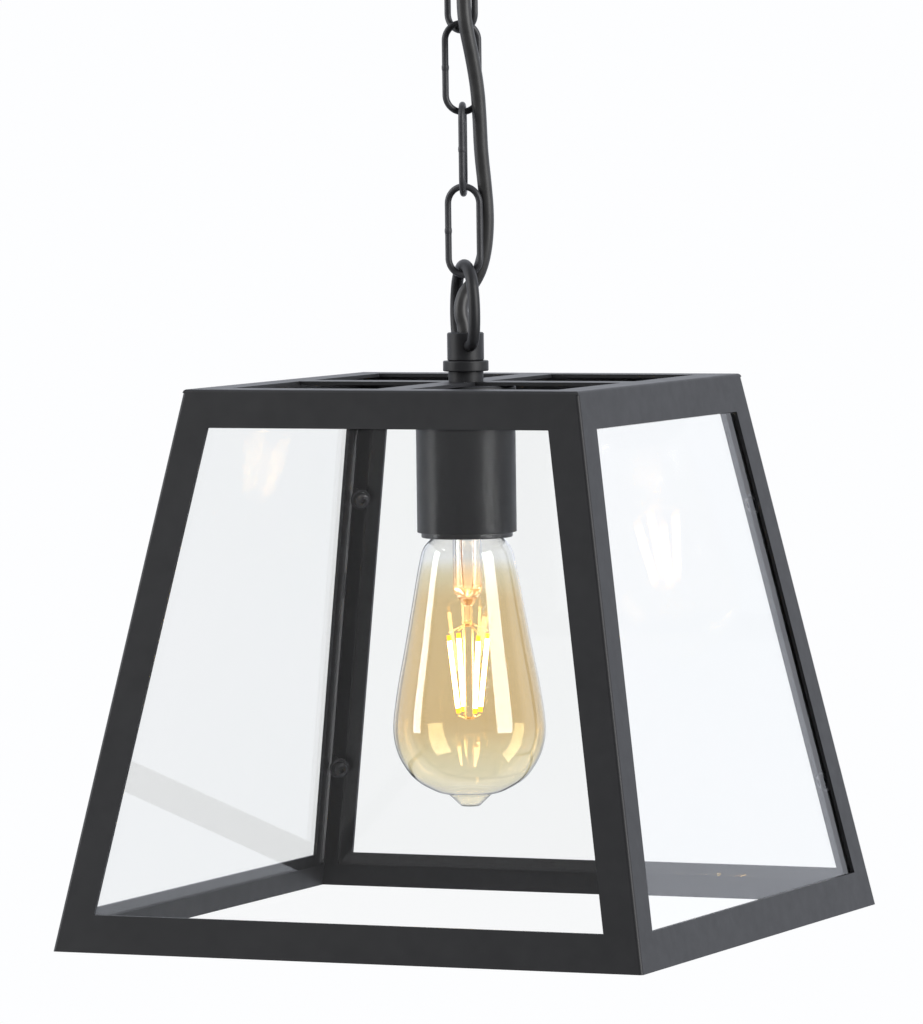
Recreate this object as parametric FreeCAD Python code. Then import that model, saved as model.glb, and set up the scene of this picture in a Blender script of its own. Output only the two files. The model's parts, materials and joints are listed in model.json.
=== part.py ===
import FreeCAD, Part
import math
import os

# Hanging lantern: a tapered cage of steel angle and clear glass, hung from a ceiling
# canopy by four chain links, with a screw-in filament bulb on the cage's axis.
# Millimetres, +Z up. The origin is on the ceiling face, on the lantern's axis.
# The lantern's front is -Y. Heights called "above" or "below" the cage are
# measured from the top plane of the cage frame.

V = FreeCAD.Vector

# ---- driving dimensions: cage ----
cage_top = -253.38
cage_height = 229.6
half_width_top = 88.35
side_slope = 0.1866
steel = 1.5
leg_width = 15.0
top_web_height = 15.7
bottom_rail_height = 15.4
corner_round = 1.4
bar_width = 15.0
bar_thickness = 1.5

# ---- glass and its clamps ----
pane_thickness = 3.0
pane_top_drop = 10.4
pane_bottom_drop = 219.5
pane_edge_inset = 9.0
clamp_drops = (53.0, 173.0)
boss_radius = 2.9
washer_seat = 10.7
washer_radius = 4.5
washer_thickness = 0.8
m4_radius = 1.95
m4_hole = 2.0
m4_head_radius = 3.4
m4_head_height = 2.2
socket_flats = 2.5
socket_depth = 1.4

# ---- hanger fittings, the same above and below the chain ----
nipple_radius = 5.0
nipple_bore = 3.5
thread_bore = 5.05
boss_nut_radius = 7.35
collar_radius = 9.55
barrel_radius = 7.7
barrel_chamfer = 0.5
loop_wire = 2.5
loop_hole = 2.55
loop_end_reach = 3.8
loop_foot_centre = 7.9
loop_bend = 7.0
loop_bend_turn = math.radians(75)
loop_side_radius = 30.0
loop_crown_radius = 14.5

# lower fittings, heights above the cage
lower_collar_low = 4.3
lower_collar_high = 8.7
lower_barrel_high = 20.5
lower_loop_foot = 15.2
lower_nipple = (-9.0, 12.2)

# upper fittings, depths below the ceiling
canopy_depth = 25.3
canopy_radius = 50.0
sheet = 1.0
upper_collar_high = 29.6
upper_collar_low = 33.95
upper_barrel_low = 46.05
upper_loop_foot = 40.55
upper_nipple_low = 37.6
upper_nipple_high = 13.5
nut_height = 3.2
nut_across_flats = 14.0

# ---- ceiling strap and terminal block ----
strap_half_length = 47.6
strap_width = 18.0
strap_ear = 14.0
slot_spacing = 70.0
slot_length = 12.0
slot_radius = 2.2
side_screw_depth = 8.0
block_x = (-26.0, -8.0)
block_half_width = 9.0
block_height = 12.0
block_holes = (-6.0, 0.0, 6.0)

# ---- chain ----
link_wire = 1.375
link_bend = 7.125
link_straight = 22.7
link_reach = 2 * link_bend + link_straight
# direction of each link's flat plane, degrees about +Z
link_turns = {"link_a": -14.0, "link_b": 38.0, "link_c": 110.0, "link_d": 1.0}
upper_loop_turn = 80.0
lower_loop_turn = -52.0
lower_loop_gap = 0.25
link_gap = 0.15
turned_link_gap = 0.25

# ---- flex ----
flex_radius = 3.0
core_radius = 1.05
# Route of the flex from the upper barrel to the lower one: x, y, height above the cage.
flex_points = [
    (0.0, 0.0, 216.0),
    (0.0, 0.0, 204.5),
    (2.96, -3.72, 194.0),
    (5.06, -6.73, 183.5),
    (4.95, -7.21, 171.0),
    (3.95, -6.6, 160.0),
    (4.7, -6.7, 149.0),
    (6.46, -3.7, 135.0),
    (7.4, -0.9, 122.0),
    (7.55, 0.5, 110.0),
    (7.35, 1.95, 96.0),
    (7.95, 4.05, 82.0),
    (8.4, 5.25, 69.0),
    (7.5, 5.1, 57.0),
    (5.05, 4.95, 46.0),
    (2.05, 2.55, 36.0),
    (0.0, 0.0, 25.5),
    (0.0, 0.0, 14.5),
]
# The flex is in five lengths, which meet halfway along these runs of its route.
flex_joins = (4, 7, 10, 13)

# ---- lampholder, depths below the cage top ----
cup_top = bar_thickness
cup_radius = 20.85
cup_depth = 63.2
dome_top = cup_top + sheet + nut_height
dome_plate = 3.0
dome_radius = 18.6
dome_wall = 1.6
dome_end = 31.0
skirt_radius = 19.15
skirt_lip = 14.2
skirt_throat = 16.5
skirt_depth = 65.4
terminal_x = 9.5
terminal_size = 6.0
insert_radius = 16.4
insert_top = 28.0
insert_bottom = 34.0
shell_outer = 14.0
shell_inner = 13.5
shell_depth = 60.0

# ---- bulb, depths below the cage top ----
contact_top = 37.0
cap_radius = 13.1
cap_root_radius = 12.3
cap_wall = 0.4
thread_pitch = 3.629
thread_top = 41.5
thread_rings = 5
cap_end = 63.6
glass_wall = 0.7
# outline of the glass from its neck to the shoulder of its tip: radius, depth
glass_outline = [
    (11.4, 54.0),
    (11.5, 60.3),
    (12.6, 63.7),
    (15.0, 65.7),
    (18.6, 70.2),
    (20.7, 78.5),
    (22.8, 90.0),
    (26.4, 110.0),
    (30.2, 130.0),
    (32.0, 145.4),
    (30.4, 155.4),
    (26.4, 163.0),
    (21.7, 168.0),
    (14.5, 172.0),
    (9.0, 173.4),
]
glass_tip = [(9.0, 173.4), (7.2, 175.6), (4.6, 177.7), (0.0, 178.5)]
stem_radius = 6.1
stem_pinch = 88.0
stem_end = 94.0
filament_radius = 1.0
filament_top = (9.2, 106.5)
filament_bottom = (5.1, 139.0)
filament_turn = 51.0
lead_radius = 0.35


def save(name, shape):
    """Write one sub-part."""
    shape.exportStep("parts/" + name + ".step")
    solids = shape.Solids
    volume = sum(solid.Volume for solid in solids)
    print(name, len(solids), round(volume, 2), shape.isValid())


def above(height):
    """Z of a height above the cage's top plane."""
    return cage_top + height


def below(drop):
    """Z of a depth below the cage's top plane."""
    return cage_top - drop


def half_width(drop):
    """Half the cage's outer width at a depth below its top plane."""
    return half_width_top + side_slope * drop


def level(thickness):
    """Horizontal thickness of a sheet that lies along a sloping side."""
    return thickness * math.hypot(1, side_slope)


def turn(shape, degrees):
    """The shape turned about the lantern's axis."""
    copy = shape.copy()
    copy.rotate(V(0, 0, 0), V(0, 0, 1), degrees)
    return copy


def joined(shapes):
    """One solid made of several that touch."""
    return shapes[0].fuse(shapes[1:]).removeSplitter()


def annulus(outer, inner, low, high):
    """A round sleeve on the axis; its bore may be zero."""
    sleeve = Part.makeCylinder(outer, high - low, V(0, 0, low))
    if inner > 0:
        sleeve = sleeve.cut(Part.makeCylinder(inner, high - low, V(0, 0, low)))
    return sleeve


def rod(start, end, radius):
    """A straight round rod between two points."""
    return Part.makeCylinder(radius, (end - start).Length, start, end - start)


def prismatoid(top, bottom):
    """A solid between two flat outlines with the same number of corners."""
    outlines = [top, bottom]
    for i in range(len(top)):
        j = (i + 1) % len(top)
        outlines.append([top[i], top[j], bottom[j], bottom[i]])
    faces = [Part.Face(Part.makePolygon(points + points[:1])) for points in outlines]
    shell = Part.Shell(faces)
    shell.sewShape()
    solid = Part.Solid(shell)
    if solid.Volume < 0:
        solid.reverse()
    return solid


def rounded_edges(points, radii, closed=False):
    """Straight runs through the points, with a tangent arc at each corner that has a radius."""
    count = len(points)
    begins = []
    ends = []
    arcs = []
    for i, point in enumerate(points):
        is_end = not closed and i in (0, count - 1)
        if is_end or radii[i] == 0:
            begins.append(point)
            ends.append(point)
            arcs.append(None)
            continue
        back = (points[i - 1] - point).normalize()
        ahead = (points[(i + 1) % count] - point).normalize()
        half_turn = (math.pi - back.getAngle(ahead)) / 2
        setback = radii[i] * math.tan(half_turn)
        inward = (back + ahead).normalize() * radii[i] * (1 / math.cos(half_turn) - 1)
        begins.append(point + back * setback)
        ends.append(point + ahead * setback)
        arcs.append(Part.Arc(begins[i], point + inward, ends[i]).toShape())
    edges = []
    for i in range(count):
        if arcs[i] is not None:
            edges.append(arcs[i])
        if closed or i < count - 1:
            edges.append(Part.LineSegment(ends[i], begins[(i + 1) % count]).toShape())
    return edges


def rounded_face(points, radii):
    """A flat face whose outline has rounded corners."""
    return Part.Face(Part.Wire(rounded_edges(points, radii, closed=True)))


def tube(edges, radius):
    """A round bar along a path of tangent edges."""
    path = Part.Wire(edges)
    start = edges[0].valueAt(edges[0].FirstParameter)
    heading = edges[0].tangentAt(edges[0].FirstParameter)
    ring = Part.Wire(Part.Circle(start, heading, radius).toShape())
    bar = path.makePipeShell([ring], True, True)
    expected = math.pi * radius ** 2 * path.Length
    if abs(bar.Volume / expected - 1) > 0.01:
        print("tube volume is off:", bar.Volume, expected)
    return bar


def turned(profile, radii=None):
    """A solid of revolution from a closed profile of (radius, z) points."""
    points = [V(radius, 0, height) for radius, height in profile]
    face = rounded_face(points, radii or [0] * len(points))
    return face.revolve(V(0, 0, 0), V(0, 0, 1), 360)


def hexagon(across_flats, low, high):
    """A hexagon prism on the axis."""
    corner = across_flats / 2 / math.cos(math.radians(30))
    points = []
    for i in range(6):
        angle = math.radians(60 * i)
        points.append(V(corner * math.cos(angle), corner * math.sin(angle), low))
    return Part.Face(Part.makePolygon(points + points[:1])).extrude(V(0, 0, high - low))


def hex_nut(low, high, bore):
    """A hexagon nut on the axis."""
    nut = hexagon(nut_across_flats, low, high)
    return nut.cut(Part.makeCylinder(bore, high - low, V(0, 0, low)))


# ---------------------------------------------------------------- cage frame

def corner_post():
    """The rear right post: a steel angle with a bent, slightly rounded arris and two glass bosses."""
    reach = half_width(steel)
    wall = level(steel)
    z = below(steel)
    outline = [
        V(reach, reach, z),
        V(reach, reach - leg_width, z),
        V(reach - wall, reach - leg_width, z),
        V(reach - wall, reach - wall, z),
        V(reach - leg_width, reach - wall, z),
        V(reach - leg_width, reach, z),
    ]
    length = cage_height - steel
    run_out = V(side_slope * length, side_slope * length, -length)
    post = rounded_face(outline, [corner_round, 0, 0, 0, 0, 0]).extrude(run_out)
    return joined([post] + [glass_boss(drop) for drop in clamp_drops])


def clamp_axis(drop):
    """The arris point of the rear right post at a depth, and the way in towards the cage's middle."""
    inward = V(-1, -1, -2 * side_slope).normalize()
    return V(half_width(drop), half_width(drop), below(drop)), inward


def inner_pyramid():
    """The space inside the cage's steel, as one solid."""
    corners = ((1, 1), (-1, 1), (-1, -1), (1, -1))
    top = half_width(0) - level(steel)
    bottom = half_width(cage_height) - level(steel)
    upper = [V(x * top, y * top, below(0)) for x, y in corners]
    lower = [V(x * bottom, y * bottom, below(cage_height)) for x, y in corners]
    return prismatoid(upper, lower)


def glass_boss(drop):
    """A short threaded stud socket in the angle of the post."""
    arris, inward = clamp_axis(drop)
    boss = Part.makeCylinder(boss_radius, washer_seat - steel, arris + inward * steel, inward)
    boss = boss.common(inner_pyramid())
    hole_start = 4.0
    hole = Part.makeCylinder(m4_hole, washer_seat - hole_start, arris + inward * hole_start, inward)
    return boss.cut(hole)


def glass_washer(drop):
    """A washer that clamps the edges of two panes against the post."""
    arris, inward = clamp_axis(drop)
    seat = arris + inward * washer_seat
    disc = Part.makeCylinder(washer_radius, washer_thickness, seat, inward)
    return disc.cut(Part.makeCylinder(m4_hole + 0.15, washer_thickness, seat, inward))


def glass_screw(drop):
    """A round-head screw through the washer into the boss, with a hexagon socket."""
    arris, inward = clamp_axis(drop)
    shank_start = 4.2
    under_head = washer_seat + washer_thickness
    head_end = under_head + m4_head_height
    profile = [
        (0, shank_start), (m4_radius, shank_start), (m4_radius, under_head),
        (m4_head_radius, under_head), (m4_head_radius, head_end), (0, head_end),
    ]
    screw = turned(profile, [0, 0.3, 0, 0, 1.5, 0])
    screw = screw.cut(hexagon(socket_flats, head_end - socket_depth, head_end))
    screw.Placement = FreeCAD.Placement(arris, FreeCAD.Rotation(V(0, 0, 1), inward))
    return screw


def every_corner(make):
    """One fastener at each clamp height of each corner."""
    pieces = []
    for drop in clamp_drops:
        for quarter in range(4):
            pieces.append(turn(make(drop), 90 * quarter))
    return Part.makeCompound(pieces)


def side_section():
    """A long bar of the top rail's angle section, along the front side."""
    far = half_width(cage_height)
    wall = level(steel)
    outer = -half_width(0)
    points = [
        V(-far, outer, below(0)),
        V(-far, -half_width(top_web_height), below(top_web_height)),
        V(-far, -half_width(top_web_height) + wall, below(top_web_height)),
        V(-far, -half_width(steel) + wall, below(steel)),
        V(-far, outer + leg_width, below(steel)),
        V(-far, outer + leg_width, below(0)),
    ]
    return rounded_face(points, [corner_round, 0, 0, 0, 0, 0]).extrude(V(2 * far, 0, 0))


def top_rail():
    """The front top rail: its flange is mitred over the posts, its web stops between them."""
    far = half_width(cage_height)
    mitre = [V(0, 0, below(steel)), V(-far, -far, below(steel)), V(far, -far, below(steel))]
    over_posts = Part.Face(Part.makePolygon(mitre + mitre[:1])).extrude(V(0, 0, steel))
    between_posts = slab_between_posts(steel, top_web_height, 0, far)
    section = side_section()
    return joined([section.common(over_posts), section.common(between_posts)])


def slab_between_posts(upper_drop, lower_drop, inner_y, outer_y):
    """A block between the front posts' edges, from one depth to another."""
    outlines = []
    for drop in (upper_drop, lower_drop):
        x = half_width(drop) - leg_width
        z = below(drop)
        outlines.append([V(-x, -inner_y, z), V(x, -inner_y, z), V(x, -outer_y, z), V(-x, -outer_y, z)])
    return prismatoid(outlines[0], outlines[1])


def sloping_plate(upper_drop, lower_drop, edge_inset, outer_inset, thickness):
    """A plate along the front side, narrower at its top, set in from the outer face."""
    outlines = []
    for drop in (upper_drop, lower_drop):
        x = half_width(drop) - edge_inset
        outer = -half_width(drop) + level(outer_inset)
        inner = outer + level(thickness)
        z = below(drop)
        outlines.append([V(-x, outer, z), V(x, outer, z), V(x, inner, z), V(-x, inner, z)])
    return prismatoid(outlines[0], outlines[1])


def cross_bar(start, end):
    """A flat bar level with the top rails, along Y, between two distances from the middle."""
    low = below(bar_thickness)
    bar = Part.makeBox(bar_width, end - start, bar_thickness, V(-bar_width / 2, start, low))
    hole = Part.makeCylinder(thread_bore, bar_thickness, V(0, 0, low))
    return bar.cut(hole)


def make_cage():
    corners = ("post_rear_right", "post_rear_left", "post_front_left", "post_front_right")
    sides = ("front", "right", "rear", "left")
    post = corner_post()
    rail = top_rail()
    foot_top = cage_height - bottom_rail_height
    foot = sloping_plate(foot_top, cage_height, leg_width, 0, steel)
    pane = sloping_plate(pane_top_drop, pane_bottom_drop, pane_edge_inset, steel, pane_thickness)
    for quarter in range(4):
        angle = 90 * quarter
        save(corners[quarter], turn(post, angle))
        save("top_rail_" + sides[quarter], turn(rail, angle))
        save("bottom_rail_" + sides[quarter], turn(foot, angle))
        save("glass_" + sides[quarter], turn(pane, angle))
    save("glass_screws", every_corner(glass_screw))
    save("glass_washers", every_corner(glass_washer))
    bar_end = half_width(0) - leg_width
    save("cross_bar_long", turn(cross_bar(-bar_end, bar_end), 90))
    front_half = cross_bar(-bar_end, -bar_width / 2)
    save("cross_bar_halves", Part.makeCompound([front_half, turn(front_half, 180)]))


# ---------------------------------------------------------------- hanger fittings and chain

def loop_crown():
    """Height of the loop's crown, and of its crown arc's centre, above the loop's feet."""
    bend_end_r = loop_foot_centre + loop_bend * math.sin(loop_bend_turn)
    bend_end_h = loop_bend * (1 - math.cos(loop_bend_turn))
    side_r = bend_end_r - loop_side_radius * math.sin(loop_bend_turn)
    side_h = bend_end_h + loop_side_radius * math.cos(loop_bend_turn)
    crown_h = side_h + math.sqrt((loop_side_radius - loop_crown_radius) ** 2 - side_r ** 2)
    return side_r, side_h, crown_h


def loop_path():
    """Half a loop, from its foot's end to its crown, as tangent edges in the XZ plane."""
    side_r, side_h, crown_h = loop_crown()

    def on_arc(centre_r, centre_h, radius, angle):
        return V(centre_r + radius * math.cos(angle), 0, centre_h + radius * math.sin(angle))

    down = -math.pi / 2
    bend_end = down + loop_bend_turn
    lean = math.atan2(crown_h - side_h, -side_r)
    bend = [on_arc(loop_foot_centre, loop_bend, loop_bend, a) for a in (down, (down + bend_end) / 2, bend_end)]
    side = [on_arc(side_r, side_h, loop_side_radius, a) for a in (bend_end, (bend_end + lean) / 2, lean)]
    top = math.pi / 2
    crown = [on_arc(0, crown_h, loop_crown_radius, a) for a in (lean, (lean + top) / 2, top)]
    return [
        Part.LineSegment(V(loop_end_reach, 0, 0), bend[0]).toShape(),
        Part.Arc(bend[0], bend[1], side[0]).toShape(),
        Part.Arc(side[0], side[1], crown[0]).toShape(),
        Part.Arc(crown[0], crown[1], crown[2]).toShape(),
    ]


def loop(foot_z, degrees, upside_down=False):
    """A round-wire loop whose two feet go into its barrel's sides."""
    half = tube(loop_path(), loop_wire)
    whole = joined([half, half.mirror(V(0, 0, 0), V(1, 0, 0))])
    if upside_down:
        whole = whole.mirror(V(0, 0, 0), V(0, 0, 1))
    whole.translate(V(0, 0, foot_z))
    return turn(whole, degrees)


def barrel(closed_z, open_z, thread_end_z, foot_z, degrees):
    """A turned sleeve: threaded at its closed end, bored for the flex, cross-drilled for the loop."""
    low = min(closed_z, open_z)
    high = max(closed_z, open_z)
    body = Part.makeCylinder(barrel_radius, high - low, V(0, 0, low))
    rims = [edge for edge in body.Edges if edge.Closed]
    body = body.makeChamfer(barrel_chamfer, rims)
    body = body.cut(Part.makeCylinder(nipple_bore, high - low, V(0, 0, low)))
    thread_low = min(closed_z, thread_end_z)
    thread_high = max(closed_z, thread_end_z)
    body = body.cut(annulus(thread_bore, 0, thread_low, thread_high))
    drill = rod(V(-barrel_radius - 1, 0, foot_z), V(barrel_radius + 1, 0, foot_z), loop_hole)
    return body.cut(turn(drill, degrees))


def stepped_nut(boss_end_z, collar_start_z, collar_end_z):
    """A round lock nut with a wide collar against the barrel and a narrower boss."""
    boss = annulus(boss_nut_radius, thread_bore, min(boss_end_z, collar_start_z), max(boss_end_z, collar_start_z))
    collar_low = min(collar_start_z, collar_end_z)
    collar_high = max(collar_start_z, collar_end_z)
    collar = annulus(collar_radius, thread_bore, collar_low, collar_high)
    rims = [edge for edge in collar.Edges if edge.Closed and edge.Length > math.pi * 2 * (collar_radius - 0.1)]
    collar = collar.makeFillet(0.5, rims)
    return joined([boss, collar])


def make_hangers():
    save("upper_nipple", annulus(nipple_radius, nipple_bore, -upper_nipple_low, -upper_nipple_high))
    save("canopy_nut", hex_nut(sheet - canopy_depth, sheet - canopy_depth + nut_height, thread_bore))
    save("upper_locknut", stepped_nut(-canopy_depth, -upper_collar_high, -upper_collar_low))
    upper_barrel = barrel(-upper_collar_low, -upper_barrel_low, -upper_nipple_low, -upper_loop_foot, upper_loop_turn)
    save("upper_barrel", upper_barrel)
    save("upper_loop", loop(-upper_loop_foot, upper_loop_turn, upside_down=True))

    save("lower_nipple", annulus(nipple_radius, nipple_bore, above(lower_nipple[0]), above(lower_nipple[1])))
    save("holder_nut", hex_nut(below(dome_top), below(dome_top - nut_height), thread_bore))
    save("lower_locknut", stepped_nut(above(0), above(lower_collar_low), above(lower_collar_high)))
    lower_barrel = barrel(
        above(lower_collar_high), above(lower_barrel_high), above(lower_nipple[1]),
        above(lower_loop_foot), lower_loop_turn)
    save("lower_barrel", lower_barrel)
    save("lower_loop", loop(above(lower_loop_foot), lower_loop_turn))


def chain_link(low_z, degrees):
    """A long-link chain link standing on its lower bend; low_z is that bend's centre line."""
    half = link_straight / 2
    sides = [rod(V(x, 0, -half), V(x, 0, half), link_wire) for x in (link_bend, -link_bend)]
    bend = Part.makeTorus(link_bend, link_wire, V(0, 0, 0), V(0, 1, 0))
    upper = bend.common(Part.makeBox(20, 20, 20, V(-10, -10, 0)))
    lower = bend.common(Part.makeBox(20, 20, 20, V(-10, -10, -20)))
    upper.translate(V(0, 0, half))
    lower.translate(V(0, 0, -half))
    link = joined(sides + [upper, lower])
    wire_length = 2 * link_straight + 2 * math.pi * link_bend
    expected = math.pi * link_wire ** 2 * wire_length
    print("link volume over wire volume", round(link.Volume / expected, 4))
    link.translate(V(0, 0, low_z + half + link_bend))
    return turn(link, degrees)


def chain_heights():
    """Centre-line height of each link's lower bend, from the lower loop upwards."""
    crown = above(lower_loop_foot) + loop_crown()[2] + loop_crown_radius
    heights = {}
    heights["link_d"] = crown - loop_wire - link_wire - lower_loop_gap
    pitch = link_reach - 2 * link_wire
    heights["link_c"] = heights["link_d"] + pitch - link_gap
    heights["link_b"] = heights["link_c"] + pitch - link_gap
    heights["link_a"] = heights["link_b"] + pitch - turned_link_gap
    return heights


def make_chain():
    heights = chain_heights()
    for name, degrees in link_turns.items():
        save(name, chain_link(heights[name], degrees))
    hook = -upper_loop_foot - loop_crown()[2] - loop_crown_radius
    print("chain pivots", {name: round(z, 3) for name, z in heights.items()}, "upper", round(hook, 3))
    print("upper gap", round(heights["link_a"] + link_reach - hook - loop_wire - link_wire, 3))


# ---------------------------------------------------------------- flex

def flex_radii(points):
    """The largest arc that fits each corner of a route."""
    radii = [0] * len(points)
    for i in range(1, len(points) - 1):
        back = points[i - 1] - points[i]
        ahead = points[i + 1] - points[i]
        half_turn = (math.pi - back.getAngle(ahead)) / 2
        radii[i] = 0.45 * min(back.Length, ahead.Length) / math.tan(half_turn)
    return radii


def make_flex():
    route = [V(x, y, above(height)) for x, y, height in flex_points]
    radii = flex_radii(route)
    print("flex radii", [round(radius, 1) for radius in radii[1:-1]])
    starts = (0,) + flex_joins
    ends = flex_joins + (len(route) - 1,)
    for number, (start, end) in enumerate(zip(starts, ends), 1):
        points = route[start:end + 1]
        corners = radii[start:end + 1]
        if start > 0:
            points[0] = (route[start] + route[start + 1]) / 2
        if end < len(route) - 1:
            points.append((route[end] + route[end + 1]) / 2)
            corners.append(0)
        edges = rounded_edges(points, corners)
        length = sum(edge.Length for edge in edges)
        print("flex", number, "length", round(length, 2), [round(c, 2) for c in points[0]])
        save("flex_" + str(number), tube(edges, flex_radius))


def flex_tail(end_z, sheath_end_z, core_ends, lead_in):
    """The hidden end of the flex: its sheath inside a nipple, and its cores to their terminals."""
    away = 1 if sheath_end_z > end_z else -1
    sheath = annulus(flex_radius, 0, min(end_z, sheath_end_z), max(end_z, sheath_end_z))
    pieces = [sheath]
    for index, target in enumerate(core_ends):
        angle = math.radians(90 + 120 * index)
        x = 1.5 * math.cos(angle)
        y = 1.5 * math.sin(angle)
        rise = 3.0
        points = [V(x, y, sheath_end_z - away), V(x, y, sheath_end_z + away * rise), target - lead_in, target]
        pieces.append(tube(rounded_edges(points, [0, 1.6, 1.6, 0]), core_radius))
    return joined(pieces)


# ---------------------------------------------------------------- canopy


def ceiling_strap():
    """The bent strap that is screwed to the ceiling; its ears take the canopy's side screws."""
    x = strap_half_length
    outline = [
        V(-x, 0, -strap_ear), V(-x, 0, 0), V(x, 0, 0), V(x, 0, -strap_ear),
        V(x - steel, 0, -strap_ear), V(x - steel, 0, -steel), V(-x + steel, 0, -steel), V(-x + steel, 0, -strap_ear),
    ]
    radii = [0, 2.2, 2.2, 0, 0, 0.7, 0.7, 0]
    strap = rounded_face(outline, radii).extrude(V(0, strap_width, 0))
    strap.translate(V(0, -strap_width / 2, 0))
    for side in (-1, 1):
        centre = side * slot_spacing / 2
        reach = slot_length / 2 - slot_radius
        for offset in (-reach, reach):
            strap = strap.cut(Part.makeCylinder(slot_radius, 2 * steel, V(centre + offset, 0, -2 * steel + 0.5)))
        box_corner = V(centre - reach, -slot_radius, -2 * steel + 0.5)
        strap = strap.cut(Part.makeBox(2 * reach, 2 * slot_radius, 2 * steel, box_corner))
    drill = rod(V(-canopy_radius, 0, -side_screw_depth), V(canopy_radius, 0, -side_screw_depth), m4_hole)
    return strap.cut(drill)


def canopy():
    """The round ceiling cover that carries the chain."""
    low = -canopy_depth
    profile = [
        (thread_bore, low), (canopy_radius, low), (canopy_radius, 0),
        (canopy_radius - sheet, 0), (canopy_radius - sheet, low + sheet), (thread_bore, low + sheet),
    ]
    cover = turned(profile, [0, 6.0, 0, 0, 6.0 - sheet, 0])
    reach = canopy_radius + 1
    drill = rod(V(-reach, 0, -side_screw_depth), V(reach, 0, -side_screw_depth), slot_radius)
    return cover.cut(drill)


def canopy_screws():
    """Two pan-head screws through the canopy's sides into the strap's ears."""
    z = -side_screw_depth
    shank = rod(V(strap_half_length - 3.0, 0, z), V(canopy_radius, 0, z), m4_radius)
    head = rod(V(canopy_radius, 0, z), V(canopy_radius + m4_head_height, 0, z), m4_head_radius)
    outer_rim = [edge for edge in head.Edges if edge.Closed and edge.CenterOfMass.x > canopy_radius + 1]
    screw = joined([shank, head.makeFillet(1.2, outer_rim)])
    return Part.makeCompound([screw, turn(screw, 180)])


def terminal_block():
    """A three-way screw terminal block under the strap."""
    corner = V(block_x[0], -block_half_width, -steel - block_height)
    block = Part.makeBox(block_x[1] - block_x[0], 2 * block_half_width, block_height, corner)
    for y in block_holes:
        bore = rod(V(block_x[0] - 1, y, -steel - 6), V(block_x[1] + 1, y, -steel - 6), core_radius + 0.3)
        block = block.cut(bore)
        for x in (block_x[0] + 5, block_x[1] - 5):
            well = rod(V(x, y, -steel - block_height - 1), V(x, y, -steel - 9), 1.8)
            block = block.cut(well)
    return block


def make_canopy():
    save("ceiling_strap", ceiling_strap())
    save("canopy", canopy())
    save("canopy_screws", canopy_screws())
    save("terminal_block", terminal_block())
    core_ends = [V(block_x[1] - 2, y, -steel - 6) for y in reversed(block_holes)]
    lead_in = V(-6, 0, 0)
    tail = flex_tail(above(flex_points[0][2]), -upper_nipple_high + 0.5, core_ends, lead_in)
    save("flex_tail_top", tail)


# ---------------------------------------------------------------- lampholder


def holder_cup():
    """The steel cup over the lampholder, open downwards."""
    plate = cup_top + sheet
    profile = [
        (thread_bore, below(cup_top)), (cup_radius, below(cup_top)), (cup_radius, below(cup_depth)),
        (cup_radius - sheet, below(cup_depth)), (cup_radius - sheet, below(plate)), (thread_bore, below(plate)),
    ]
    return turned(profile, [0, 1.4, 0.3, 0.3, 0.4, 0])


def holder_dome():
    """The plastic cap of the lampholder, on the nipple."""
    plate = dome_top + dome_plate
    profile = [
        (thread_bore, below(dome_top)), (dome_radius, below(dome_top)), (dome_radius, below(dome_end)),
        (dome_radius - dome_wall, below(dome_end)), (dome_radius - dome_wall, below(plate)), (thread_bore, below(plate)),
    ]
    return turned(profile, [0, 4.0, 0, 0, 2.4, 0])


def holder_skirt():
    """The plastic sleeve that screws on the dome; its rim shows below the cup."""
    profile = [
        (skirt_throat, below(dome_end)), (skirt_radius, below(dome_end)), (skirt_radius, below(skirt_depth)),
        (skirt_throat, below(skirt_depth)), (skirt_throat, below(shell_depth)), (skirt_lip, below(shell_depth)),
        (skirt_lip, below(insert_bottom)), (skirt_throat, below(insert_bottom)),
    ]
    return turned(profile, [0, 0, 0.6, 0.4, 0, 0, 0, 0])


def thread_shell():
    """The brass screw shell, with the inner flange that holds it under the insert."""
    flange = 0.5
    profile = [
        (10.0, below(insert_bottom)), (shell_outer, below(insert_bottom)), (shell_outer, below(shell_depth)),
        (shell_inner, below(shell_depth)), (shell_inner, below(insert_bottom + flange)),
        (10.0, below(insert_bottom + flange)),
    ]
    return turned(profile)


def centre_contact():
    """The bent spring strip that reaches down to the bulb's contact."""
    strip = 0.4
    z_high = below(insert_bottom)
    z_low = below(contact_top) + 0.25
    outline = [
        V(-8.0, 0, z_high), V(-4.0, 0, z_high), V(-0.5, 0, z_low + strip), V(3.0, 0, z_low + strip),
        V(3.0, 0, z_low), V(-0.8, 0, z_low), V(-4.3, 0, z_high - strip), V(-8.0, 0, z_high - strip),
    ]
    leaf = rounded_face(outline, [0] * len(outline)).extrude(V(0, 5, 0))
    leaf.translate(V(0, -2.5, 0))
    return leaf


def terminals():
    """Two brass terminal blocks on the insert, each with its clamp screw."""
    corner = V(terminal_x - terminal_size / 2, -terminal_size / 2, below(insert_top))
    block = Part.makeBox(terminal_size, terminal_size, terminal_size, corner)
    z = below(insert_top - terminal_size / 2)
    screw = rod(V(terminal_x, -terminal_size / 2, z), V(terminal_x, -terminal_size / 2 - 1.6, z), 2.2)
    one = joined([block, screw])
    return Part.makeCompound([one, turn(one, 180)])


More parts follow.
